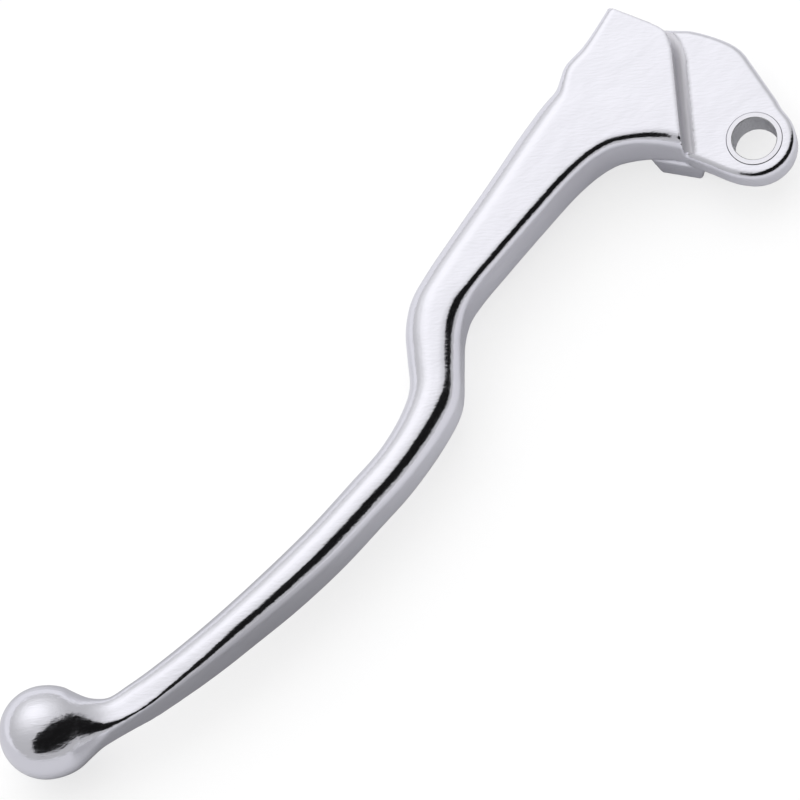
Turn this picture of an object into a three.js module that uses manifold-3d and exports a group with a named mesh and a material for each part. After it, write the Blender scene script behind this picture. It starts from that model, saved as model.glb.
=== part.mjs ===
// Motorcycle clutch lever: a one-piece cast lever and the steel bush it turns on.
// Millimetres, +Z up. The origin is on the pivot axis, level with the flat underside.
// +X runs from the ball end to the pivot, +Y faces away from the grip.
import * as THREE from 'three';
import { ParametricGeometry } from 'three/addons/geometries/ParametricGeometry.js';
import { mergeVertices } from 'three/addons/utils/BufferGeometryUtils.js';
import Module from 'manifold-3d';

// Overall sizes
const REACH = 168.5;            // pivot axis to the middle of the ball
const BODY_HEIGHT = 11.8;       // head and blade, underside to top face
const PLATE_HEIGHT = 5.8;       // pivot plate, which lies between the ears of the perch
const BALL_RADIUS = 8.5;
const BALL_SET_BACK = 0.2;      // middle of the ball, behind a line along X through the pivot
const NECK_RADIUS = 3.3;        // thinnest place, just before the ball
const NECK_LENGTH = 13;         // from the middle of the ball to the thinnest place
const NECK_SET_BACK = 6.1;
const NECK_FILLET = 12;         // hollow curve that joins the neck to the ball
const BLADE_START = 89;         // pivot axis to where the dog-leg ends and the blade begins

// Pivot
const PIVOT_BOLT_BORE = 8.2;    // bore of the bush, for an 8 mm pivot bolt
const BUSH_WALL = 1.0;
const BUSH_CLEARANCE = 0.07;    // radial running fit in the lever
const BUSH_STANDOUT = 0.1;      // each end stands proud, so the perch pinches only the bush
const EYE_WALL = 2.33;          // plate material left round the bush
const PLATE_EDGE = 0.7;         // rounding of the plate's rims

// Step from the thick head down to the plate
const STEP_FILLET = 1.5;

// Cable nipple pocket, open underneath, with a slot for the wire
const NIPPLE_POCKET_RADIUS = 4.1;
const NIPPLE_POCKET_ROOF = 2.4; // material left over the pocket
const NIPPLE_X = -9.5;
const CABLE_ARM = 27;           // pivot axis to the line of the cable
const DRAWN_CABLE_ARM = 27;     // cable arm for which the head's outlines below are drawn
const WIRE_SLOT_WIDTH = 2.8;
const WIRE_SLOT_DEPTH = 4.6;

// Switch tab under the grip side of the head
const TAB_HEIGHT = 5.5;
const TAB_LENGTH = 10.6;
const TAB_DEPTH = 6.5;
const TAB_END_SLOPE = 1.4;
const TAB_EDGE = 0.5;

// Fineness of the curved surfaces
const CORNER_STEPS = 5;
const RINGS_PER_SECTION = 2;
const ROUND_STEPS = 64;

const MIDDLE = BODY_HEIGHT / 2;
const BUSH_RADIUS = PIVOT_BOLT_BORE / 2 + BUSH_WALL;
const BUSH_HOLE_RADIUS = BUSH_RADIUS + BUSH_CLEARANCE;
const EYE_RADIUS = BUSH_HOLE_RADIUS + EYE_WALL;
const NIPPLE_POCKET_TOP = BODY_HEIGHT - NIPPLE_POCKET_ROOF;
const THROUGH = 5;              // how far a cutting shape runs past what it cuts
const BURIED = 0.6;             // how far an added shape reaches into the casting

const wasm = await Module();
wasm.setup();

// Turns closed three.js geometry into a solid that can be joined and cut.
function solid(geometry) {
  const bare = new THREE.BufferGeometry();
  bare.setAttribute('position', geometry.getAttribute('position').clone());
  if (geometry.index) bare.setIndex(geometry.index.clone());
  const merged = mergeVertices(bare, 1e-4);
  const corners = merged.index.array;
  const triangles = [];
  for (let i = 0; i < corners.length; i += 3) {
    const [a, b, c] = corners.subarray(i, i + 3);
    if (a !== b && b !== c && c !== a) triangles.push(a, b, c);
  }
  return new wasm.Manifold(new wasm.Mesh({
    numProp: 3,
    vertProperties: new Float32Array(merged.getAttribute('position').array),
    triVerts: new Uint32Array(triangles),
  }));
}

// A named mesh of a finished solid.
function part(name, shape, colour, roughness) {
  const mesh = shape.getMesh();
  const geometry = new THREE.BufferGeometry();
  geometry.setAttribute('position', new THREE.BufferAttribute(mesh.vertProperties, 3));
  geometry.setIndex(new THREE.BufferAttribute(mesh.triVerts, 1));
  geometry.computeVertexNormals();
  const material = new THREE.MeshStandardMaterial({ color: colour, roughness, metalness: 1 });
  const made = new THREE.Mesh(geometry, material);
  made.name = name;
  return made;
}

// An upright block with the given outline, from bottom to top, with rounded rims.
function block(outline, bottom, top, edge = 0, steps = 3) {
  const geometry = new THREE.ExtrudeGeometry(outline, {
    depth: top - bottom - 2 * edge,
    bevelEnabled: edge > 0,
    bevelSize: edge,
    bevelThickness: edge,
    bevelOffset: -edge,
    bevelSegments: steps,
    curveSegments: 12,
  });
  geometry.translate(0, 0, bottom + edge);
  return solid(geometry);
}

function cylinder(radius, bottom, top, x = 0, y = 0) {
  const geometry = new THREE.CylinderGeometry(radius, radius, top - bottom, ROUND_STEPS);
  geometry.rotateX(Math.PI / 2);
  geometry.translate(x, y, (top + bottom) / 2);
  return solid(geometry);
}

// ---- Sections of the casting -------------------------------------------------
// Each section joins a point on the front edge to one on the grip edge,
// and has a height, a front corner radius and a grip corner radius.
// Heights are centred on the middle plane.

// The ball and its neck, from the tip inwards, on a spine that bends forward.
const BALL = new THREE.Vector2(-REACH, -BALL_SET_BACK);
const NECK = new THREE.Vector2(NECK_LENGTH - REACH, -NECK_SET_BACK);
const BEND = new THREE.Vector2(0.58 * NECK_LENGTH - REACH, 0.2 * BALL.y + 0.8 * NECK.y);
const spine = new THREE.QuadraticBezierCurve(BALL, BEND, NECK);

function roundSection(distance, radius, gripShare = 1) {
  const share = Math.max(distance, 0) / spine.getLength();
  const along = spine.getTangentAt(share);
  const centre = spine.getPointAt(share).addScaledVector(along, Math.min(distance, 0));
  const across = new THREE.Vector2(-along.y, along.x).multiplyScalar(radius);
  const front = centre.clone().add(across);
  const grip = centre.clone().sub(across);
  return [front.x, front.y, grip.x, grip.y, 2 * radius, radius, radius * gripShare];
}

function ballAndNeck() {
  const sections = [];
  const filletDistance = Math.sqrt((BALL_RADIUS + NECK_FILLET) ** 2 - (NECK_RADIUS + NECK_FILLET) ** 2);
  const meeting = BALL_RADIUS / (BALL_RADIUS + NECK_FILLET);
  const lastAngle = Math.PI - Math.acos(meeting * filletDistance / BALL_RADIUS);
  const ballSteps = 9;
  for (let i = 0; i <= ballSteps; i++) {
    const angle = lastAngle * i / ballSteps;
    sections.push(roundSection(-BALL_RADIUS * Math.cos(angle), BALL_RADIUS * Math.sin(angle)));
  }
  const start = meeting * filletDistance;
  for (const [share, gripShare] of [[0.3, 0.8], [0.62, 0.45]]) {
    const distance = start + share * (filletDistance - start);
    const drop = Math.sqrt(NECK_FILLET ** 2 - (filletDistance - distance) ** 2);
    sections.push(roundSection(distance, NECK_RADIUS + NECK_FILLET - drop, gripShare));
  }
  return sections;
}

// The slender blade: share of its length, front y, grip y, fullness of its height,
// front corner radius, grip corner radius.
// The fullness goes from the neck's height, at 0, to the body's, at 1.
const bladeLength = REACH - NECK_LENGTH - BLADE_START;
const bladeHeight = fullness => THREE.MathUtils.lerp(2 * NECK_RADIUS, BODY_HEIGHT, fullness);
const blade = [
  [1, NECK.y + NECK_RADIUS, NECK.y - NECK_RADIUS, 0, NECK_RADIUS, 0.8],
  [0.94, -3.4, -10.1, 0.09, 3.4, 0.6],
  [0.87, -3.8, -10.6, 0.27, 3.9, 0.9],
  [0.74, -4.2, -11.2, 0.59, 4.4, 1.3],
  [0.6, -4.2, -11.5, 0.82, 4.7, 1.9],
  [0.45, -3.8, -11.6, 0.95, 4.8, 2.1],
  [0.29, -3, -11.1, 1, 4.8, 2.4],
  [0.13, -1.5, -9.8, 1, 4.8, 2.6],
  [0, -0.1, -8.5, 1, 4.8, 2.7],
].map(([share, front, grip, fullness, ...corners]) => {
  const x = -BLADE_START - share * bladeLength;
  return [x, front, x, grip, bladeHeight(fullness), ...corners];
});

// A place on the head, moved across it with the cable arm.
const at = (x, y) => [x, y * CABLE_ARM / DRAWN_CABLE_ARM];

// The dog-leg and the head: front x, front y, grip x, grip y, front and grip corner radius.
const head = [
  [-82, 2.5, -78.4, -5.6, 4.8, 3.1],
  [-77.8, 5.2, -72.5, -2.8, 4.8, 3.7],
  [-74.4, 9.9, -67.6, 2.6, 4.8, 4.1],
  [-71.2, 14.3, -64, 6.7, 4.8, 4],
  [-66.9, 17.9, -60.5, 9.4, 4.8, 2.7],
  [-61.4, 20.1, -57, 10.8, 4.7, 1.8],
  [-52.5, 22.7, -49.3, 12.3, 4.6, 1.7],
  [-41.4, 25.9, -39.4, 14, 4.6, 1.7],
  [-30.8, 29.1, -29.8, 15.4, 4.6, 1.7],
  [-24.2, 30.6, -24.6, 15.5, 4.2, 1.9],
  [-21.1, 30.9, -21, 14.8, 3.4, 2.2],
  [-19.3, 31.8, -18.5, 13.5, 2.8, 2.4],
  [-16.9, 33.1, -16.5, 12, 2.4, 2.6],
  [-12.2, 33.7, -14.4, 10, 2.2, 2.9],
  [-7.2, 35.1, -12.6, 7.8, 2, 2.9],
  [-3.2, 36.5, -11.2, 5.7, 2, 2.9],
  [7.8, 40.3, -9.3, 1.6, 2, 2.9],
].map(([frontX, frontY, gripX, gripY, ...corners]) =>
  [...at(frontX, frontY), ...at(gripX, gripY), BODY_HEIGHT, ...corners]);

const sections = [...ballAndNeck(), ...blade, ...head];

// A smooth skin through the sections, closed at both ends.
function loft() {
  const through = (pick, kind) => new THREE.CatmullRomCurve3(sections.map(pick), false, kind);
  const front = through(s => new THREE.Vector3(s[0], s[1], 0), 'centripetal');
  const grip = through(s => new THREE.Vector3(s[2], s[3], 0), 'centripetal');
  const profile = through(s => new THREE.Vector3(s[4], s[5], s[6]), 'catmullrom');
  const rings = RINGS_PER_SECTION * (sections.length - 1);
  const around = 4 * (CORNER_STEPS + 1);
  const caps = 1 / (rings + 2);

  const skin = (u, v, target) => {
    const share = THREE.MathUtils.clamp((v - caps) / (1 - 2 * caps), 0, 1);
    const closing = v > 1 - caps / 2 ? 0 : 1;
    const [a, b] = [front.getPoint(share), grip.getPoint(share)];
    const { x: height, y: frontCorner, z: gripCorner } = profile.getPoint(share);
    const half = a.distanceTo(b) / 2;
    const place = Math.round(u * around) % around;
    const side = Math.floor(place / (CORNER_STEPS + 1));
    const turn = (side + (place % (CORNER_STEPS + 1)) / CORNER_STEPS) * Math.PI / 2;
    const [signY, signZ] = [[1, 1], [-1, 1], [-1, -1], [1, -1]][side];
    const room = 2 * half / Math.max(frontCorner + gripCorner, 2 * half, 1e-6);
    const corner = signY > 0 ? frontCorner : gripCorner;
    const radius = Math.max(Math.min(corner * room, height / 2), 0);
    const across = closing * (signY * (half - radius) + radius * Math.cos(turn));
    const up = closing * (signZ * (height / 2 - radius) + radius * Math.sin(turn));
    target.lerpVectors(b, a, half > 0 ? 0.5 + across / (2 * half) : 0.5);
    target.z = MIDDLE + up;
  };
  return solid(new ParametricGeometry(skin, around, rings + 2));
}

// ---- Outlines seen from above ------------------------------------------------

// Everything on the pivot side of the head's end face and step.
function beyondHead() {
  const outline = new THREE.Shape();
  outline.moveTo(...at(-6, 41));
  outline.lineTo(...at(-0.1, 28.2));
  outline.bezierCurveTo(...at(1.4, 25), ...at(0.9, 23.6), ...at(-0.6, 21.4));
  outline.lineTo(...at(-15.1, 0.6));
  outline.lineTo(-15, -20);
  outline.lineTo(30, -20);
  outline.lineTo(...at(30, 41));
  outline.closePath();
  return outline;
}

// The pivot plate, which runs back inside the head and ends in an eye round the bush.
function plateOutline() {
  const eyeEnd = -2.5;
  const outline = new THREE.Shape();
  outline.moveTo(...at(-3, 27));
  outline.lineTo(...at(-0.4, 28.4));
  outline.bezierCurveTo(...at(1, 28.6), ...at(2.4, 26.6), ...at(4.9, 25));
  outline.bezierCurveTo(...at(6.2, 23.4), ...at(7.4, 21.3), ...at(8.5, 18.9));
  outline.bezierCurveTo(...at(9.3, 17), ...at(9.7, 15.6), ...at(9.5, 13.6));
  outline.lineTo(EYE_RADIUS + 0.5, 3);
  outline.quadraticCurveTo(EYE_RADIUS, 1.4, EYE_RADIUS, 0);
  outline.absarc(0, 0, EYE_RADIUS, 0, eyeEnd, true);
  outline.bezierCurveTo(-7.6, -2.8, -8.6, 0, ...at(-9.2, 1.4));
  outline.lineTo(...at(-11.1, 5.5));
  outline.lineTo(...at(-12, 12));
  outline.closePath();
  return outline;
}

// A strip of the plate beside the step, tall enough to hold the step's fillet.
function stepStrip() {
  const outline = new THREE.Shape();
  outline.moveTo(...at(-1.5, 27.6));
  outline.lineTo(...at(0.8, 27.8));
  outline.bezierCurveTo(...at(3.4, 26), ...at(2.8, 23.4), ...at(1.2, 20.6));
  outline.lineTo(...at(-9.2, 5.4));
  outline.lineTo(...at(-10.9, 6.4));
  outline.closePath();
  return outline;
}

// The switch tab: a tapered block whose face is flush with the grip side.
function tab() {
  const outline = new THREE.Shape();
  outline.moveTo(0, BURIED);
  outline.lineTo(TAB_END_SLOPE, -TAB_HEIGHT);
  outline.lineTo(TAB_LENGTH - TAB_END_SLOPE, -TAB_HEIGHT);
  outline.lineTo(TAB_LENGTH, BURIED);
  outline.closePath();
  const geometry = new THREE.ExtrudeGeometry(outline, {
    depth: TAB_DEPTH - 2 * TAB_EDGE,
    bevelSize: TAB_EDGE,
    bevelThickness: TAB_EDGE,
    bevelOffset: -TAB_EDGE,
    bevelSegments: 2,
  });
  geometry.translate(0, 0, TAB_EDGE);
  const start = new THREE.Vector3(...at(-9.5, 3.6), 0);
  const along = new THREE.Vector3(...at(-15.5, 11.6), 0).sub(start).normalize();
  const up = new THREE.Vector3(0, 0, 1);
  const inward = new THREE.Vector3().crossVectors(along, up);
  const place = new THREE.Matrix4().makeBasis(along, up, inward);
  place.setPosition(start);
  return solid(geometry.applyMatrix4(place));
}

function leverCasting() {
  const tall = [-THROUGH, BODY_HEIGHT + THROUGH];
  const overPlate = block(beyondHead(), PLATE_HEIGHT, BODY_HEIGHT + THROUGH, STEP_FILLET, 4);
  const strip = block(stepStrip(), BURIED, PLATE_HEIGHT + STEP_FILLET);
  const wireSlot = new THREE.BoxGeometry(2 * -NIPPLE_X, WIRE_SLOT_WIDTH, WIRE_SLOT_DEPTH + THROUGH);
  wireSlot.translate(0, CABLE_ARM, (WIRE_SLOT_DEPTH - THROUGH) / 2);
  return loft()
    .subtract(block(beyondHead(), ...tall))
    .add(strip.subtract(overPlate))
    .add(block(plateOutline(), 0, PLATE_HEIGHT, PLATE_EDGE))
    .add(tab())
    .subtract(cylinder(BUSH_HOLE_RADIUS, ...tall))
    .subtract(cylinder(NIPPLE_POCKET_RADIUS, -THROUGH, NIPPLE_POCKET_TOP, NIPPLE_X, CABLE_ARM))
    .subtract(solid(wireSlot));
}

function pivotBush() {
  const span = [-BUSH_STANDOUT, PLATE_HEIGHT + BUSH_STANDOUT];
  const inner = PIVOT_BOLT_BORE / 2;
  const profile = [
    new THREE.Vector2(inner, span[0]),
    new THREE.Vector2(BUSH_RADIUS, span[0]),
    new THREE.Vector2(BUSH_RADIUS, span[1]),
    new THREE.Vector2(inner, span[1]),
    new THREE.Vector2(inner, span[0]),
  ];
  const geometry = new THREE.LatheGeometry(profile, ROUND_STEPS);
  geometry.rotateX(Math.PI / 2);
  return solid(geometry);
}

const lever = new THREE.Group();
lever.add(part('lever_casting', leverCasting(), 0xd9dadf, 0.18));
lever.add(part('pivot_bush', pivotBush(), 0x8f9094, 0.4));

export default lever;
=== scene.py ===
"""Motorcycle clutch lever: one polished aluminium casting that turns on a steel bush.

The pieces are modelled in millimetres and brought to metres when they are finished.
+X runs from the ball end to the pivot, +Y faces away from the grip, +Z is up, and the
origin is on the pivot axis, level with the lever's flat underside.
"""
import math

import bmesh
import bpy
from bpy.props import FloatProperty, FloatVectorProperty, PointerProperty
from mathutils import Matrix, Vector
from mathutils.geometry import interpolate_bezier


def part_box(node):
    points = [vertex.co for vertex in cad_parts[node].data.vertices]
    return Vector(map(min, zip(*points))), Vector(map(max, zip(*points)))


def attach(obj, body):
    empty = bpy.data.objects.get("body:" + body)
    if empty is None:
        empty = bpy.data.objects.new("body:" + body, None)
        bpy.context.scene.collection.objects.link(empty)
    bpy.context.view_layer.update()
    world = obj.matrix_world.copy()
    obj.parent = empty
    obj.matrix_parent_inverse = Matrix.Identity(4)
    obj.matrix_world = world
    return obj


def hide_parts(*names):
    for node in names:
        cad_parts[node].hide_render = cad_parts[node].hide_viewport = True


bl_info = {
    "name": "Clutch Lever",
    "version": (1, 0, 0),
    "blender": (4, 5, 0),
    "location": "3D View > Sidebar > Clutch Lever",
    "description": "Builds a polished clutch lever, the bush it turns on and a studio for it",
    "category": "Add Mesh",
}

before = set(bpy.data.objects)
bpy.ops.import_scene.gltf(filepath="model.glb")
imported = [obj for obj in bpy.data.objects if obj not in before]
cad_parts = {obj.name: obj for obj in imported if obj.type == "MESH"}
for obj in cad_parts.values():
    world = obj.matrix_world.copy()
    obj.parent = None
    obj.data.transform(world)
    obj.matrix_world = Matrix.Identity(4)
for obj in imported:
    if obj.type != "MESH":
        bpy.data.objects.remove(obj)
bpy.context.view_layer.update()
CASTING_LOW, CASTING_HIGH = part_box("lever_casting")
BUSH_LOW, BUSH_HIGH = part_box("pivot_bush")

MM = 0.001

# Sizes in metres that others follow. The ball is level with the middle of the head.
BODY_HEIGHT = 0.0118
BUSH_STANDOUT = 0.0001
BALL_RADIUS = round(CASTING_HIGH.z - BODY_HEIGHT / 2, 4)


# ---- Sizes and colours that a user would change --------------------------------------


def length(name, description, default):
    return FloatProperty(
        name=name, description=description, default=default, min=0.0, unit="LENGTH"
    )


def colour(name, description, default):
    return FloatVectorProperty(
        name=name, description=description, default=default, min=0.0, max=1.0, subtype="COLOR"
    )


class CastingSizes(bpy.types.PropertyGroup):
    body_height: length("Body height", "Underside of the head to its top face", BODY_HEIGHT)
    reach: length("Reach", "Pivot axis to the middle of the ball", -CASTING_LOW.x - BALL_RADIUS)
    ball_radius: length("Ball radius", "Radius of the ball at the tip", BALL_RADIUS)
    neck_radius: length("Neck radius", "Thinnest place, just before the ball", 0.0033)
    neck_length: length("Neck length", "Middle of the ball to the thinnest place", 0.013)
    neck_fillet: length("Neck fillet", "Hollow curve between neck and ball", 0.012)
    blade_start: length("Blade start", "Pivot axis to the end of the dog-leg", 0.089)
    blade_crown: length("Blade crown", "Rise of the blade's top over its edges", 0.0005)
    head_crown: length("Head crown", "Rise of the head's top over its edges", 0.00006)
    plate_height: length(
        "Plate height", "Thickness between the perch's ears", BUSH_HIGH.z - BUSH_STANDOUT
    )
    plate_edge: length("Plate edge", "Rounding of the plate's rims", 0.0011)
    eye_wall: length("Eye wall", "Material left round the bush", 0.00233)
    step_fillet: length("Step fillet", "Hollow curve at the foot of the step", 0.0015)
    grain: length("Surface pitch", "Size of the faces of the cast skin", 0.00034)


class BushSizes(bpy.types.PropertyGroup):
    bore: length("Bore", "Diameter of the hole for the pivot bolt", 0.0082)
    clearance: length("Clearance", "Gap all round between bush and lever", 0.00007)
    bore_chamfer: length("Bore chamfer", "Bevel at each mouth of the bore", 0.00015)
    outer_chamfer: length("Outer chamfer", "Bevel at each outer rim", 0.00004)


class CutSizes(bpy.types.PropertyGroup):
    pocket_radius: length("Pocket radius", "Radius of the cable nipple pocket", 0.0041)
    pocket_roof: length("Pocket roof", "Material left over the pocket", 0.0024)
    cable_arm: length("Cable arm", "Pivot axis to the line of the cable", 0.027)
    slot_width: length("Slot width", "Width of the wire slot", 0.0028)
    slot_depth: length("Slot depth", "Depth of the wire slot", 0.0046)
    chamfer: length("Chamfer", "Bevel at the mouth of the nipple pocket", 0.00035)
    bush_chamfer: length("Bush chamfer", "Bevel at the mouths of the bush's hole", 0.00005)


class FinishColours(bpy.types.PropertyGroup):
    aluminium: colour("Aluminium", "Polished casting", (0.89, 0.885, 0.95))
    milled: colour("Milled aluminium", "Drilled and milled places", (0.80, 0.79, 0.84))
    steel: colour("Bush steel", "Faces of the bush", (0.88, 0.875, 0.93))
    bore: colour("Bore steel", "Bore of the bush", (0.86, 0.86, 0.88))
    floor: colour("Floor", "Floor of the studio", (0.86, 0.86, 0.865))


# ---- Outlines and sections, in millimetres --------------------------------------------

CURVE_POINTS = 13
MERGE_DISTANCE, TINY = 1e-4, 1e-6

# The step between head and plate: its line from the front edge back to the grip side.
STEP_LINE = ((-0.1, 28.2), ((1.4, 25), (0.9, 23.6), (-0.6, 21.4)), (-15.1, 0.6))


def trace(start, *stretches):
    """Points of an outline: each stretch is a corner, or two handles and an end of a curve."""
    points = [Vector(start)]
    for stretch in stretches:
        if isinstance(stretch[0], tuple):
            first, second, end = (Vector(p) for p in stretch)
            points += interpolate_bezier(points[-1], first, second, end, CURVE_POINTS)[1:]
        else:
            points.append(Vector(stretch))
    return points


def beyond_head():
    """Everything on the pivot side of the head's end face and step."""
    return trace((-6, 41), *STEP_LINE, (-15, -20), (30, -20), (30, 41))


def along_step(width, sunk):
    """A band of that width beside the step, sunk a little into the head."""
    path = trace(*STEP_LINE)
    near, far = [], []
    for before, point, after in zip(path[:1] + path, path, path[1:] + path[-1:]):
        along = (after - before).normalized()
        outward = Vector((-along.y, along.x))
        near.append(point - sunk * outward)
        far.append(point + width * outward)
    return near + far[::-1]


def plate_outline(eye_radius):
    """The pivot plate, which runs back inside the head and ends in an eye round the bush."""
    front = trace(
        (-3, 27), (-0.4, 28.8), ((1.4, 29.2), (2.6, 27), (4.9, 25)),
        ((6.2, 23.4), (7.4, 21.3), (8.5, 18.9)), ((9.3, 17), (9.7, 15.6), (9.5, 13.6)),
        (eye_radius + 0.5, 3), ((eye_radius + 0.15, 1.9), (eye_radius, 1), (eye_radius, 0)),
    )
    eye_end, eye_steps = -2.5, 24
    turns = [eye_end * i / eye_steps for i in range(1, eye_steps)]
    eye = [eye_radius * Vector((math.cos(t), math.sin(t))) for t in turns]
    end = eye_radius * Vector((math.cos(eye_end), math.sin(eye_end)))
    back = trace(tuple(end), ((-7.6, -2.8), (-8.6, 0), (-9.2, 1.4)), (-11.1, 5.5), (-12, 12))
    return front + eye + back


def step_strip():
    """A strip of the plate beside the step, which holds the step's fillet."""
    return trace(
        (-1.5, 28.4), (0.6, 28.6), ((3, 26.4), (2.4, 23.7), (0.8, 20.9)), (-9.8, 5.7), (-11.2, 6.6)
    )


def ball_and_neck(sizes):
    """Sections from the tip inwards: front point, grip point, height, corners, crown."""
    ball_inset, ball_y, neck_y = 0.4, 0.1, -6.1
    bend_along, bend_across = 0.58, 0.8
    ball = Vector((ball_inset - sizes.reach / MM, ball_y))
    neck = Vector(((sizes.neck_length - sizes.reach) / MM, neck_y))
    bend_y = (1 - bend_across) * ball.y + bend_across * neck.y
    bend = Vector((ball.x + bend_along * (neck.x - ball.x), bend_y))
    ball_radius, neck_radius = sizes.ball_radius / MM, sizes.neck_radius / MM
    fillet = sizes.neck_fillet / MM
    spine_steps = 40
    shares = [i / spine_steps for i in range(spine_steps + 1)]
    spine = [ball.lerp(bend, t).lerp(bend.lerp(neck, t), t) for t in shares]
    spine_length = sum((b - a).length for a, b in zip(spine, spine[1:]))

    def section(distance, radius, grip_share=1):
        share = min(max(distance, 0) / spine_length, 1)
        place = share * spine_steps
        i = min(int(place), spine_steps - 1)
        along = (spine[i + 1] - spine[i]).normalized()
        centre = spine[i].lerp(spine[i + 1], place - i) + along * min(distance, 0)
        across = Vector((-along.y, along.x)) * radius
        return centre + across, centre - across, 2 * radius, radius, radius * grip_share, 0

    reach = math.sqrt((ball_radius + fillet) ** 2 - (neck_radius + fillet) ** 2)
    meeting = ball_radius / (ball_radius + fillet)
    last = math.pi - math.acos(meeting * reach / ball_radius)
    ball_steps = 9
    angles = [last * i / ball_steps for i in range(ball_steps + 1)]
    made = [section(-ball_radius * math.cos(a), ball_radius * math.sin(a)) for a in angles]
    # Along the fillet: the share of its length, and how round the grip side still is.
    for share, grip_share in ((0.3, 0.8), (0.62, 0.45)):
        distance = reach * (meeting + share * (1 - meeting))
        drop = math.sqrt(fillet**2 - (reach - distance) ** 2)
        made.append(section(distance, neck_radius + fillet - drop, grip_share))
    return made


# The blade: share of its length, front y, grip y, fullness of its height, front corner
# radius, grip corner radius. The fullness goes from the neck's height to the body's.
BLADE = (
    (1, -2.8, -9.4, 0, 3.3, 0.8),
    (0.94, -3.4, -10.1, 0.09, 3.4, 0.6),
    (0.87, -3.8, -10.6, 0.27, 3.9, 0.9),
    (0.74, -4.2, -11.2, 0.59, 4.4, 1.3),
    (0.6, -4.2, -11.5, 0.82, 4.7, 1.9),
    (0.45, -3.8, -11.6, 0.95, 4.8, 2.1),
    (0.29, -3, -11.1, 1, 4.8, 2.4),
    (0.13, -1.5, -9.8, 1, 4.8, 2.6),
    (0, -0.1, -8.5, 1, 4.8, 2.7),
)

# The dog-leg and the head: front x, front y, grip x, grip y, front and grip corner radius.
HEAD = (
    (-82, 2.5, -78.4, -5.6, 4.8, 3.1),
    (-77.8, 5.2, -72.5, -2.8, 4.8, 3.3),
    (-74.4, 9.9, -67.6, 2.6, 4.8, 3.4),
    (-71.2, 14.3, -64, 6.7, 4.8, 3.3),
    (-66.9, 17.9, -60.5, 9.4, 4.8, 2.7),
    (-61.4, 20.1, -57, 10.8, 4.7, 1.8),
    (-52.5, 22.7, -49.3, 12.3, 4.6, 1.7),
    (-41.4, 25.9, -39.4, 14, 4.6, 1.7),
    (-30.8, 29.1, -29.8, 15.4, 4.6, 1.7),
    (-24.2, 30.6, -24.6, 15.5, 4.2, 1.6),
    (-21.1, 30.9, -21, 14.8, 3.4, 1.7),
    (-19.3, 31.8, -18.5, 13.5, 2.8, 1.8),
    (-16.9, 33.1, -16.5, 12, 2.4, 2.1),
    (-12.2, 33.7, -14.4, 10, 2.2, 2.6),
    (-7.2, 35.1, -12.6, 7.8, 2, 2.9),
    (-3.2, 36.5, -11.2, 5.7, 2, 2.9),
    (7.8, 40.3, -9.3, 1.6, 2, 2.9),
)


def casting_sections(sizes):
    """Every section from the tip of the ball to past the step."""
    body, neck = sizes.body_height / MM, 2 * sizes.neck_radius / MM
    start = -sizes.blade_start / MM
    blade_length = (sizes.reach - sizes.neck_length) / MM + start
    crown_fade = 6  # Sections over which the blade's crown gives way to the head's
    sections = ball_and_neck(sizes)
    for share, front, grip, fullness, *corners in BLADE:
        x = start - share * blade_length
        height = neck + fullness * (body - neck)
        crown = fullness * sizes.blade_crown / MM
        sections.append((Vector((x, front)), Vector((x, grip)), height, *corners, crown))
    for i, (front_x, front_y, grip_x, grip_y, *corners) in enumerate(HEAD):
        share = min(i / crown_fade, 1)
        crown = (sizes.blade_crown * (1 - share) + sizes.head_crown * share) / MM
        front, grip = Vector((front_x, front_y)), Vector((grip_x, grip_y))
        sections.append((front, grip, body, *corners, crown))
    return sections


def smooth_run(points, share, even=False):
    """A point of the smooth curve through the points; share goes from 0 to 1."""
    place = share * (len(points) - 1)
    i = min(int(place), len(points) - 2)
    t = place - i
    b, c = points[i], points[i + 1]
    a = points[i - 1] if i else 2 * b - c
    d = points[i + 2] if i + 2 < len(points) else 2 * c - b
    # Gaps that grow with the root of the distance keep the curve free of loops.
    spans = ((a, b), (b, c), (c, d))
    gaps = [1 if even else max(math.sqrt((q - p).length), MERGE_DISTANCE) for p, q in spans]
    leave = gaps[1] * ((b - a) / gaps[0] - (c - a) / (gaps[0] + gaps[1]) + (c - b) / gaps[1])
    arrive = gaps[1] * ((c - b) / gaps[1] - (d - b) / (gaps[1] + gaps[2]) + (d - c) / gaps[2])
    return (
        b * (2 * t**3 - 3 * t**2 + 1) + leave * (t**3 - 2 * t**2 + t)
        + c * (3 * t**2 - 2 * t**3) + arrive * (t**3 - t**2)
    )


# A section is a ring of points, laid over its four corners and the flats between them.
CORNERS = ((1, 1), (-1, 1), (-1, -1), (1, -1))
CORNER_STEPS, FLAT_STEPS, RINGS_PER_SECTION = 10, 8, 6
PER_SIDE = CORNER_STEPS + FLAT_STEPS
AROUND = len(CORNERS) * PER_SIDE


def rounded(place, half, height, corners, crown):
    """A point of a section: how far across towards the front, and how far up."""
    side, step = divmod(place % AROUND, PER_SIDE)
    room = 2 * half / max(sum(corners), 2 * half, TINY)

    def on_corner(side, turn):
        across, up = CORNERS[side % len(CORNERS)]
        corner = max(min(corners[across < 0] * room, height / 2), 0)
        angle = (side + turn) * math.pi / 2
        return Vector((
            across * (half - corner) + corner * math.cos(angle),
            up * (height / 2 - corner) + corner * math.sin(angle),
        ))

    if step <= CORNER_STEPS:
        point = on_corner(side, step / CORNER_STEPS)
    else:
        share = (step - CORNER_STEPS) / FLAT_STEPS
        point = on_corner(side, 1).lerp(on_corner(side + 1, 0), share)
    if point.y > 0 and half > 0:
        point.y -= crown * (point.x / half) ** 2
    return point


# ---- Mesh work -------------------------------------------------------------------------

# How far a cutter reaches past what it cuts, and how deep a joined block sits in the rest.
THROUGH, BURIED = 5, 0.6


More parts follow.
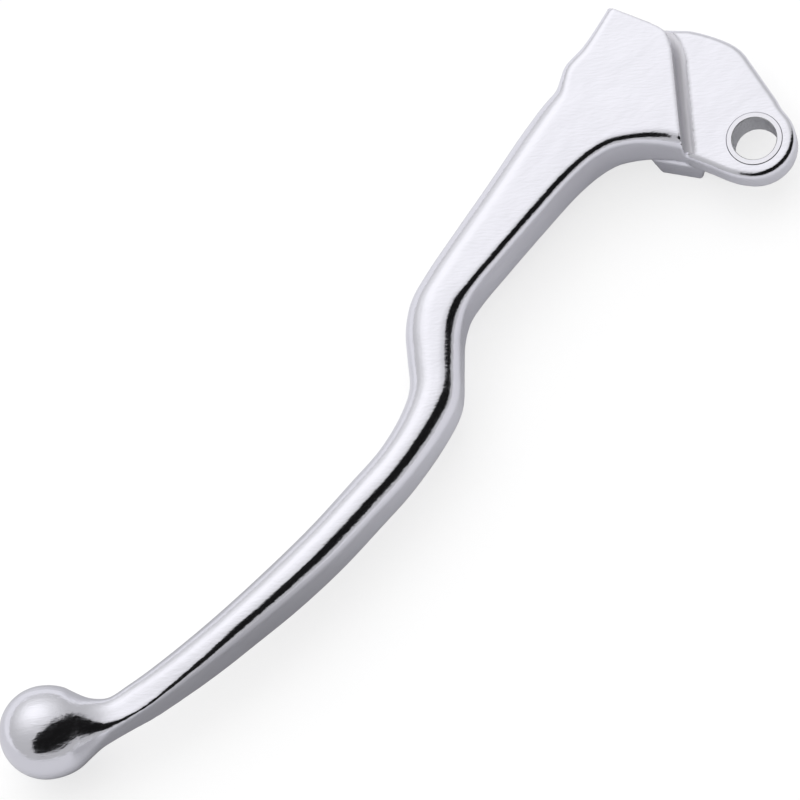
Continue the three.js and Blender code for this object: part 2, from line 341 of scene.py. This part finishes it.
def finished(bm, name):
    """An object made of a bmesh in millimetres, brought to metres."""
    bmesh.ops.scale(bm, vec=(MM, MM, MM), verts=bm.verts)
    bmesh.ops.recalc_face_normals(bm, faces=bm.faces)
    mesh = bpy.data.meshes.new(name)
    bm.to_mesh(mesh)
    bm.free()
    made = bpy.data.objects.new(name, mesh)
    bpy.context.collection.objects.link(made)
    return made


def casting_skin(sizes):
    """The smooth skin through the sections, from the ball to past the step."""
    sections = casting_sections(sizes)
    fronts = [s[0] for s in sections]
    grips = [s[1] for s in sections]
    profiles = [Vector(s[2:]) for s in sections]
    rings = RINGS_PER_SECTION * (len(sections) - 1)
    middle = sizes.body_height / MM / 2
    bm = bmesh.new()
    bmesh.ops.create_grid(bm, x_segments=AROUND, y_segments=rings, size=1)
    for vert in bm.verts:
        place = round((vert.co.x + 1) / 2 * AROUND)
        share = (vert.co.y + 1) / 2
        front, grip = smooth_run(fronts, share), smooth_run(grips, share)
        height, *corners, crown = smooth_run(profiles, share, even=True)
        half = (front - grip).length / 2
        across, up = rounded(place, half, height, corners, crown)
        spot = grip.lerp(front, 0.5 + across / (2 * half) if half > 0 else 0.5)
        vert.co = (spot.x, spot.y, middle + up)
    bmesh.ops.remove_doubles(bm, verts=bm.verts, dist=MERGE_DISTANCE)
    bmesh.ops.holes_fill(bm, edges=[e for e in bm.edges if e.is_boundary])
    return finished(bm, "casting_skin")


def block(outline, bottom, top):
    """A bmesh of an upright block with that outline."""
    bm = bmesh.new()
    face = bm.faces.new([bm.verts.new((*point, bottom)) for point in outline])
    raised = bmesh.ops.extrude_face_region(bm, geom=[face])["geom"]
    raised = [g for g in raised if isinstance(g, bmesh.types.BMVert)]
    bmesh.ops.translate(bm, verts=raised, vec=(0, 0, top - bottom))
    bmesh.ops.recalc_face_normals(bm, faces=bm.faces)
    return bm


def round_off(bm, edges, radius, steps):
    """Rounds the given edges."""
    bmesh.ops.bevel(
        bm, geom=edges, affect="EDGES", offset=radius, segments=steps, profile=0.5, material=-1
    )


def prism(name, outline, bottom, top, edge=0, steps=5):
    """An upright block of the outline, with rounded rims where an edge is given."""
    bm = block(outline, bottom, top)
    if edge:
        rims = [e for e in bm.edges if abs(e.verts[0].co.z - e.verts[1].co.z) < TINY]
        round_off(bm, rims, edge, steps)
    return finished(bm, name)


def turned(name, profile, centre=(0, 0), steps=128):
    """A ring or plug turned about an upright axis from its profile of radius and height."""
    bm = bmesh.new()
    verts = [bm.verts.new((radius, 0, z)) for radius, z in profile]
    edges = [bm.edges.new(pair) for pair in zip(verts, verts[1:] + verts[:1])]
    bmesh.ops.spin(
        bm, geom=verts + edges, cent=(0, 0, 0), axis=(0, 0, 1), angle=2 * math.pi, steps=steps,
        use_merge=True,
    )
    bmesh.ops.remove_doubles(bm, verts=bm.verts, dist=MERGE_DISTANCE)
    bmesh.ops.translate(bm, verts=bm.verts, vec=(*centre, 0))
    return finished(bm, name)


def switch_tab():
    """The tapered block under the grip side that works the clutch switch."""
    height, tab_length, depth, slope, edge, edge_steps = 5.5, 10.6, 6.5, 1.4, 0.5, 3
    start, end = Vector((-9.5, 3.6, 0)), Vector((-15.5, 11.6, 0))
    along = (end - start).normalized()
    up = Vector((0, 0, 1))
    inward = along.cross(up)
    profile = ((0, BURIED), (slope, -height), (tab_length - slope, -height), (tab_length, BURIED))
    bm = block(profile, 0, depth)
    round_off(bm, bm.edges[:], edge, edge_steps)
    basis = Matrix((along, up, inward)).transposed().to_4x4()
    bmesh.ops.transform(bm, matrix=Matrix.Translation(start) @ basis, verts=bm.verts)
    return finished(bm, "switch_tab")


def settle(target):
    """Turns an object's modifiers into its mesh."""
    depsgraph = bpy.context.evaluated_depsgraph_get()
    mesh = bpy.data.meshes.new_from_object(target.evaluated_get(depsgraph), depsgraph=depsgraph)
    target.modifiers.clear()
    target.data = mesh
    return target


def combine(target, other, operation):
    """Joins another solid to the target or cuts it away, and uses it up."""
    cut = target.modifiers.new(operation.lower(), "BOOLEAN")
    cut.operation, cut.solver, cut.object = operation, "MANIFOLD", other
    cut.material_mode = "TRANSFER"
    settle(target)
    bpy.data.objects.remove(other)
    if not target.data.polygons:
        raise RuntimeError(f"{operation.lower()} left nothing of {target.name}")
    return target


def cast(target, pitch):
    """Skins the joined shapes as one casting, with soft inner and outer corners."""
    skin = target.modifiers.new("skin", "REMESH")
    skin.mode, skin.voxel_size, skin.adaptivity = "VOXEL", pitch, 0
    strength, rounds = 0.5, 10
    for factor in (strength, -strength):  # Inwards, then back out by as much
        polish = target.modifiers.new("polish", "SMOOTH")
        polish.factor, polish.iterations = factor, rounds
    return settle(target)


NIPPLE_X = -9.5  # The axis of the cable's nipple


def step_cutter(body, plate, fillet):
    """Cuts the head's end wall and the hollow curve at its foot in one narrow band."""
    below, sunk, band, fillet_steps = 0.04, 0.15, 1.75, 8
    foot, top = plate - below, body + THROUGH
    cutter = prism("step_cut", along_step(2 * fillet, sunk), foot, top, fillet, fillet_steps)
    limit = prism("step_limit", along_step(band, 2 * sunk), foot - THROUGH, top + THROUGH)
    return combine(cutter, limit, "INTERSECT")


def bush_hole_cutter(hole, plate, mouth):
    """Drills the bush's hole through the plate and flares both its mouths."""
    flare = hole + mouth + THROUGH
    return turned("bush_hole", (
        (0, -THROUGH), (flare, -THROUGH), (hole, mouth), (hole, plate - mouth),
        (flare, plate + THROUGH), (0, plate + THROUGH),
    ))


def nipple_pocket_cutter(cuts, body):
    """Drills the pocket of the cable's nipple from below and flares its mouth."""
    radius, chamfer = cuts.pocket_radius / MM, cuts.chamfer / MM
    roof = body - cuts.pocket_roof / MM
    profile = (
        (0, -THROUGH), (radius + chamfer + THROUGH, -THROUGH), (radius, chamfer), (radius, roof),
        (0, roof),
    )
    return turned("nipple_pocket", profile, (NIPPLE_X, cuts.cable_arm / MM), steps=64)


def wire_slot_cutter(cuts):
    """Cuts the slot by which the cable's wire enters the pocket."""
    arm, half = cuts.cable_arm / MM, cuts.slot_width / MM / 2
    outline = [
        (x, arm + side)
        for x, side in ((NIPPLE_X, -half), (-NIPPLE_X, -half), (-NIPPLE_X, half), (NIPPLE_X, half))
    ]
    return prism("wire_slot", outline, -THROUGH, cuts.slot_depth / MM)


# ---- Finishes ----------------------------------------------------------------------------


def node(tree, kind, *inputs, **settings):
    """A node with its settings; each input is a socket to link from, or a value, in order."""
    made = tree.nodes.new("ShaderNode" + kind)
    named = settings.pop("named", {})
    for key, value in settings.items():
        setattr(made, key, value)
    for key, value in [*enumerate(inputs), *named.items()]:
        if isinstance(value, bpy.types.NodeSocket):
            tree.links.new(value, made.inputs[key])
        elif value is not None:
            made.inputs[key].default_value = value
    return made


def maths(tree, operation, *values):
    """One step of arithmetic on plain values."""
    return node(tree, "Math", *values, operation=operation).outputs[0]


def ramp(tree, value, low, high, start=0.0, end=1.0, kind="SMOOTHSTEP"):
    """A value taken from the range low to high into the range start to end."""
    return node(
        tree, "MapRange", interpolation_type=kind,
        named={"Value": value, "From Min": low, "From Max": high, "To Min": start, "To Max": end},
    ).outputs["Result"]


def between(tree, share, first, second):
    """A colour between two colours."""
    mixed = node(tree, "Mix", data_type="RGBA", named={"Factor": share, 6: first, 7: second})
    return mixed.outputs[2]


def noise(tree, place, scale, detail, roughness):
    """A cloudy pattern."""
    return node(
        tree, "TexNoise", noise_dimensions="3D",
        named={"Vector": place, "Scale": scale, "Detail": detail, "Roughness": roughness},
    ).outputs["Fac"]


def group(name, inputs, outputs):
    """An empty shader node group with named inputs and outputs."""
    tree = bpy.data.node_groups.new(name, "ShaderNodeTree")
    for label, kind, value in inputs:
        socket = tree.interface.new_socket(label, in_out="INPUT", socket_type=kind)
        if value is not None:
            socket.default_value = value
    for label in outputs:
        tree.interface.new_socket(label, in_out="OUTPUT", socket_type="NodeSocketFloat")
    return tree, tree.nodes.new("NodeGroupInput"), tree.nodes.new("NodeGroupOutput")


def polishing_marks():
    """Fine lines drawn out along one direction, as a wheel or a belt leaves them."""
    tree, given, result = group(
        "polishing_marks",
        [
            ("Vector", "NodeSocketVector", None),
            ("Stretch", "NodeSocketVector", (1, 1, 1)),
            ("Detail", "NodeSocketFloat", 4.0),
        ],
        ["Marks", "Drift"],
    )
    place, stretch, detail = (given.outputs[label] for label in ("Vector", "Stretch", "Detail"))
    laid = node(tree, "VectorMath", place, stretch, operation="MULTIPLY").outputs[0]
    fine_scale, fine_roughness = 1.0, 0.6
    wide_scale, wide_detail, wide_roughness = 0.13, 2.0, 0.5
    fine = noise(tree, laid, fine_scale, detail, fine_roughness)
    wide = noise(tree, laid, wide_scale, wide_detail, wide_roughness)
    tree.links.new(fine, result.inputs["Marks"])
    tree.links.new(wide, result.inputs["Drift"])
    return tree


def cast_surface():
    """Slow waves and rare pits that stay in a casting under its polish."""
    tree, given, result = group(
        "cast_surface",
        [("Vector", "NodeSocketVector", None), ("Scale", "NodeSocketFloat", 100.0)],
        ["Waves", "Pits"],
    )
    place, scale = given.outputs["Vector"], given.outputs["Scale"]
    wave_detail, wave_roughness = 2.5, 0.45
    pit_density, pit_floor, pit_rim = 5.0, 0.05, 0.13
    waves = noise(tree, place, scale, wave_detail, wave_roughness)
    spots = node(
        tree, "TexVoronoi", feature="F1", distance="EUCLIDEAN",
        named={"Vector": place, "Scale": maths(tree, "MULTIPLY", scale, pit_density),
               "Randomness": 1.0},
    )
    pits = ramp(tree, spots.outputs["Distance"], pit_floor, pit_rim, 1.0, 0.0)
    tree.links.new(waves, result.inputs["Waves"])
    tree.links.new(pits, result.inputs["Pits"])
    return tree


def shared_group(build):
    """The node group of that name, built the first time it is wanted."""
    return bpy.data.node_groups.get(build.__name__) or build()


def marks_at(tree, place, stretch, detail=4.0):
    """The shared polishing marks, placed in a material."""
    return node(
        tree, "Group", node_tree=shared_group(polishing_marks),
        named={"Vector": place, "Stretch": stretch, "Detail": detail},
    ).outputs


def skin_at(tree, place, scale):
    """The shared cast surface, placed in a material."""
    return node(
        tree, "Group", node_tree=shared_group(cast_surface),
        named={"Vector": place, "Scale": scale},
    ).outputs


def metal(name, tint):
    """A metal material and its parts: tree, shader and object coordinates."""
    made = bpy.data.materials.new(name)
    made.use_nodes = True
    tree = made.node_tree
    shader = tree.nodes["Principled BSDF"]
    shader.inputs["Metallic"].default_value = 1.0
    made.diffuse_color = (*tint, 1)
    return made, tree, shader, node(tree, "TexCoord").outputs["Object"]


def swung(tree, place, angle):
    """Coordinates turned about the upright axis, so that marks can lie along an edge."""
    return node(
        tree, "Mapping", vector_type="POINT", named={"Vector": place, "Rotation": (0, 0, angle)}
    ).outputs["Vector"]


def tinted(tree, shader, mask, tint, shade):
    """Colour that drifts between the tint and a slightly darker shade of it."""
    darker = [c * shade for c in tint]
    drifting = between(tree, mask, (*tint, 1), (*darker, 1))
    tree.links.new(drifting, shader.inputs["Base Color"])


def spread(tree, shader, mask, low, high):
    """Roughness that follows a mask between two values."""
    mask_low, mask_high = 0.3, 0.7
    roughness = ramp(tree, mask, mask_low, mask_high, low, high, kind="LINEAR")
    tree.links.new(roughness, shader.inputs["Roughness"])


def relief(tree, shader, *layers):
    """Bumps laid over each other: each layer is a height and its depth in metres."""
    normal = None
    for height, depth in layers:
        bump = node(
            tree, "Bump",
            named={"Height": height, "Distance": depth, "Strength": 1.0, "Normal": normal},
        )
        normal = bump.outputs["Normal"]
    tree.links.new(normal, shader.inputs["Normal"])


# A stretch is how many marks there are to a metre along X, Y and Z, so the marks are drawn
# out along the axis with the smallest number.


def polished_aluminium(tint):
    """Mirror polish over a wavy casting, with short dashes from the belt."""
    made, tree, shader, place = metal("bright_casting", tint)
    belt_angle = math.radians(39.5)
    skin = skin_at(tree, place, 140.0)
    marks = marks_at(tree, place, (90, 2600, 2600))
    dashes = marks_at(tree, swung(tree, place, belt_angle), (650, 2100, 2100), detail=2.0)
    tinted(tree, shader, marks["Drift"], tint, 0.96)
    spread(tree, shader, marks["Marks"], 0.09, 0.19)
    relief(
        tree, shader,
        (skin["Waves"], 0.00016), (marks["Marks"], 0.0000045),
        (dashes["Marks"], 0.000034), (skin["Pits"], -0.000004),
    )
    return made


def milled_aluminium(tint):
    """Duller metal with rings round the upright axis, as a drill leaves it."""
    made, tree, shader, place = metal("milled_casting", tint)
    marks = marks_at(tree, place, (500, 500, 5200))
    tinted(tree, shader, skin_at(tree, place, 260.0)["Waves"], tint, 0.8)
    spread(tree, shader, marks["Marks"], 0.26, 0.46)
    relief(tree, shader, (marks["Marks"], 0.00002))
    return made


def milled_step(tint):
    """Matt metal with streaks that run along the step."""
    made, tree, shader, place = metal("milled_step", tint)
    shader.inputs["Metallic"].default_value = 0.6
    (foot_x, foot_y), (bend_x, bend_y) = STEP_LINE[-1], STEP_LINE[-2][-1]
    along = math.atan2(bend_y - foot_y, bend_x - foot_x)
    marks = marks_at(tree, swung(tree, place, -along), (110, 3600, 3600))
    tinted(tree, shader, marks["Drift"], tint, 0.78)
    spread(tree, shader, marks["Marks"], 0.42, 0.62)
    relief(tree, shader, (marks["Marks"], 0.00003))
    return made


def bush_face(tint):
    """Bright steel with faint facing marks."""
    made, tree, shader, place = metal("faced_steel", tint)
    marks = marks_at(tree, place, (1500, 3800, 1500))
    tinted(tree, shader, marks["Drift"], tint, 0.95)
    spread(tree, shader, marks["Marks"], 0.13, 0.27)
    relief(tree, shader, (marks["Marks"], 0.000006))
    return made


def bush_bore(tint):
    """Dull steel with a mottled, slightly torn surface, as in a drilled hole."""
    made, tree, shader, place = metal("drilled_steel", tint)
    marks, skin = marks_at(tree, place, (900, 900, 2600)), skin_at(tree, place, 1500.0)
    tinted(tree, shader, skin["Waves"], tint, 0.85)
    spread(tree, shader, marks["Marks"], 0.34, 0.56)
    relief(tree, shader, (marks["Marks"], 0.00005), (skin["Waves"], 0.00012))
    return made


# ---- Studio -------------------------------------------------------------------------------


def camera(scene):
    """A long lens that looks down on the lever from the grip side."""
    lens, sensor_width, field, near, far = 400, 36, 0.1455, 0.05, 50
    aim = Vector((-0.0795, 0.0077, -0.0001))
    backward = Vector((-0.106, -0.365, 0.925)).normalized()
    right = Vector((0.762, -0.628, -0.161))
    right = (right - backward * right.dot(backward)).normalized()
    up = backward.cross(right)
    distance = field * lens / sensor_width
    made = bpy.data.objects.new("camera", bpy.data.cameras.new("camera"))
    scene.collection.objects.link(made)
    made.data.lens, made.data.sensor_width = lens, sensor_width
    made.data.clip_start, made.data.clip_end = near, far
    made.matrix_world = Matrix.Translation(aim + backward * distance) @ (
        Matrix((right, up, backward)).transposed().to_4x4()
    )
    scene.camera = made
    return right, up, backward


def floor(tint):
    """A wide pale floor under the lever's lowest place, with painted shade that only the metal's
    reflections show.
    """
    radius, sides = 8000, 96
    bm = bmesh.new()
    bmesh.ops.create_circle(bm, cap_ends=True, segments=sides, radius=radius)
    bmesh.ops.translate(bm, verts=bm.verts, vec=(0, 0, CASTING_LOW.z / MM))
    made = finished(bm, "studio_floor")
    if made.data.polygons[0].normal.z < 0:
        made.data.flip_normals()
    material = bpy.data.materials.new("pale_floor")
    material.use_nodes = True
    tree = material.node_tree
    shader = tree.nodes["Principled BSDF"]
    shader.inputs["Roughness"].default_value = 0.9
    shader.inputs["Specular IOR Level"].default_value = 0.0
    shader.inputs["Emission Color"].default_value = (1, 1, 1, 1)
    path = node(tree, "LightPath").outputs
    place = node(tree, "SeparateXYZ", node(tree, "TexCoord").outputs["Object"]).outputs

    # Painted shade that only the metal mirrors: for glossy rays the floor is darkest under the
    # blade, and lighter past the ball, under the head and in front of the lever.
    dark, past_ball, under_head, in_front = 0.46, 0.7, 0.78, 0.88
    painted_shade = maths(
        tree, "MAXIMUM",
        ramp(tree, place["X"], -0.178, -0.155, past_ball, dark),
        ramp(tree, place["X"], -0.13, -0.07, dark, under_head),
    )
    painted_shade = maths(tree, "MAXIMUM", painted_shade, ramp(tree, place["Y"], 0.0, 0.06, dark, in_front))
    # A slightly cooler tint for the painted shade, which only the metal's reflections show.
    cooler, seen_share, lift = 1.02, 0.3, 0.74
    painted_shade_tint = (tint[0], tint[1], min(tint[2] * cooler, 1.0))
    painted_shade_colour = node(tree, "VectorMath", painted_shade_tint, painted_shade, operation="MULTIPLY").outputs[0]
    seen = (*(c * seen_share for c in tint), 1)
    # Glossy rays see the painted shade; other rays that are not the camera's see the plain tint.
    lit = between(tree, path["Is Glossy Ray"], (*tint, 1), painted_shade_colour)
    tree.links.new(between(tree, path["Is Camera Ray"], lit, seen), shader.inputs["Base Color"])
    glow = maths(tree, "MULTIPLY", path["Is Camera Ray"], lift)
    tree.links.new(glow, shader.inputs["Emission Strength"])
    made.data.materials.append(material)


def tent(scene, right, up, backward):
    """A bright tent all round, with a dark oval flag above and beside the camera."""
    world = bpy.data.worlds.new("studio")
    world.use_nodes = True
    scene.world = world
    tree = world.node_tree
    ray = node(tree, "TexCoord").outputs["Generated"]

    def along(direction):
        return node(tree, "VectorMath", ray, direction, operation="DOT_PRODUCT").outputs["Value"]

    def squared(axis, middle, half):
        """The square of a ray's share of the way from the flag's middle to its edge."""
        off = maths(tree, "SUBTRACT", along(axis), middle.dot(axis))
        share = maths(tree, "DIVIDE", off, half)
        return maths(tree, "MULTIPLY", share, share)

    brightest, dimmest, rise, fall = Vector((0.1, 0.63, 0.77)), 0.49, 0.62, -4.55
    away = maths(tree, "SUBTRACT", 1.0, along(brightest))
    glow = maths(tree, "EXPONENT", maths(tree, "MULTIPLY", away, fall))
    bright = maths(tree, "ADD", maths(tree, "MULTIPLY", glow, rise), dimmest)

    flag_right, flag_up, wide, tall, left_in_flag = 0.3, -0.05, 0.95, 0.5, 0.015
    lean = Vector((0.75, 0.66)).normalized()
    middle = right * flag_right + up * flag_up
    across, upright = right * lean.x + up * lean.y, up * lean.x - right * lean.y
    oval = maths(tree, "ADD", squared(across, middle, wide), squared(upright, middle, tall))
    flag = ramp(tree, oval, 0.9, 1.1, 1.0, 0.0)
    facing = ramp(tree, along(backward), 0.0, 0.05)
    above = ramp(tree, along(Vector((0, 0, 1))), 0.25, 0.31)
    shade = maths(tree, "MULTIPLY", flag, maths(tree, "MULTIPLY", facing, above))
    light = maths(tree, "MULTIPLY", bright, ramp(tree, shade, 0.0, 1.0, 1.0, left_in_flag))
    seen = between(tree, node(tree, "LightPath").outputs["Is Camera Ray"], light, (1, 1, 1, 1))
    tree.links.new(seen, tree.nodes["Background"].inputs["Color"])


def lamp(scene):
    """A broad lamp that lights the floor and isn't mirrored."""
    light = bpy.data.lights.new("broad_lamp", "SUN")
    light.energy, light.angle = 2.0, math.radians(70)
    made = bpy.data.objects.new("broad_lamp", light)
    made.rotation_euler = (math.radians(-14), math.radians(8), 0)
    made.visible_glossy = False
    scene.collection.objects.link(made)


# ---- Operators ----------------------------------------------------------------------------

SHARP_ANGLE = math.radians(38)


def finish_piece(piece, cad_node, body):
    """Shades a piece and ties it to the frame."""
    piece.data.shade_smooth()
    piece.data.set_sharp_from_angle(angle=SHARP_ANGLE)
    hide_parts(cad_node)
    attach(piece, body)


class CLUTCH_OT_casting(bpy.types.Operator):
    """Make the polished casting with its ball, blade, head, step, plate and tab"""

    bl_idname = "clutch.casting"
    bl_label = "Lever Casting"

    def execute(self, context):
        scene = context.scene
        sizes, bush, cuts = scene.lever_casting, scene.lever_bush, scene.lever_cuts
        colours = scene.lever_colours
        body, plate = sizes.body_height / MM, sizes.plate_height / MM
        hole = BUSH_HIGH.x / MM + bush.clearance / MM
        fillet = sizes.step_fillet / MM

        casting = casting_skin(sizes)
        combine(casting, prism("end_cut", beyond_head(), -THROUGH, body + THROUGH), "DIFFERENCE")
        combine(casting, prism("step_strip", step_strip(), BURIED, plate + fillet), "UNION")
        outline = plate_outline(hole + sizes.eye_wall / MM)
        combine(casting, prism("plate", outline, 0, plate, sizes.plate_edge / MM), "UNION")
        combine(casting, switch_tab(), "UNION")
        cast(casting, sizes.grain)

        casting.data.materials.clear()
        casting.data.materials.append(polished_aluminium(colours.aluminium))
        milled = milled_aluminium(colours.milled)
        for cutter, material in (
            (step_cutter(body, plate, fillet), milled_step(colours.milled)),
            (bush_hole_cutter(hole, plate, cuts.bush_chamfer / MM), milled),
            (nipple_pocket_cutter(cuts, body), milled),
            (wire_slot_cutter(cuts), milled),
        ):
            cutter.data.materials.clear()
            cutter.data.materials.append(material)
            combine(casting, cutter, "DIFFERENCE")
        casting.name = "polished_lever"
        finish_piece(casting, "lever_casting", "lever")
        return {"FINISHED"}


class CLUTCH_OT_bush(bpy.types.Operator):
    """Make the turned steel bush that the lever swings on"""

    bl_idname = "clutch.bush"
    bl_label = "Pivot Bush"

    def execute(self, context):
        bush, colours = context.scene.lever_bush, context.scene.lever_colours
        outer, inner = BUSH_HIGH.x / MM, bush.bore / MM / 2
        bottom, top = BUSH_LOW.z / MM, BUSH_HIGH.z / MM
        bore, rim = bush.bore_chamfer / MM, bush.outer_chamfer / MM
        piece = turned("turned_bush", (
            (inner, bottom + bore), (inner + bore, bottom), (outer - rim, bottom),
            (outer, bottom + rim), (outer, top - rim), (outer - rim, top), (inner + bore, top),
            (inner, top - bore),
        ))
        bore_reach = inner + bore / 2
        for face in piece.data.polygons:
            face.material_index = int(face.center.to_2d().length / MM < bore_reach)
        piece.data.materials.append(bush_face(colours.steel))
        piece.data.materials.append(bush_bore(colours.bore))
        finish_piece(piece, "pivot_bush", "bush")
        return {"FINISHED"}


class CLUTCH_OT_stage(bpy.types.Operator):
    """Set up the pale floor, the soft studio light and the camera"""

    bl_idname = "clutch.stage"
    bl_label = "Studio"

    def execute(self, context):
        scene = context.scene
        scene.view_settings.view_transform = "Standard"
        right, up, backward = camera(scene)
        floor(scene.lever_colours.floor)
        tent(scene, right, up, backward)
        lamp(scene)
        return {"FINISHED"}


class CLUTCH_PT_panel(bpy.types.Panel):
    """Lists the lever's pieces and their sizes"""

    bl_idname = "CLUTCH_PT_panel"
    bl_label = "Clutch Lever"
    bl_space_type = "VIEW_3D"
    bl_region_type = "UI"
    bl_category = "Clutch Lever"

    def draw(self, context):
        layout = self.layout
        for made in OPERATORS:
            layout.operator(made.bl_idname)
        for name, kind in GROUPS.items():
            box = layout.box()
            for key in kind.__annotations__:
                box.prop(getattr(context.scene, name), key)


OPERATORS = (CLUTCH_OT_stage, CLUTCH_OT_casting, CLUTCH_OT_bush)
GROUPS = {
    "lever_casting": CastingSizes,
    "lever_cuts": CutSizes,
    "lever_bush": BushSizes,
    "lever_colours": FinishColours,
}


def register():
    for kind in (*GROUPS.values(), *OPERATORS, CLUTCH_PT_panel):
        bpy.utils.register_class(kind)
    for name, kind in GROUPS.items():
        setattr(bpy.types.Scene, name, PointerProperty(type=kind))


def unregister():
    for name in GROUPS:
        delattr(bpy.types.Scene, name)
    for kind in reversed((*GROUPS.values(), *OPERATORS, CLUTCH_PT_panel)):
        bpy.utils.unregister_class(kind)


def main():
    register()
    bpy.ops.clutch.stage()
    bpy.ops.clutch.casting()
    bpy.ops.clutch.bush()


if __name__ == "__main__":
    main()
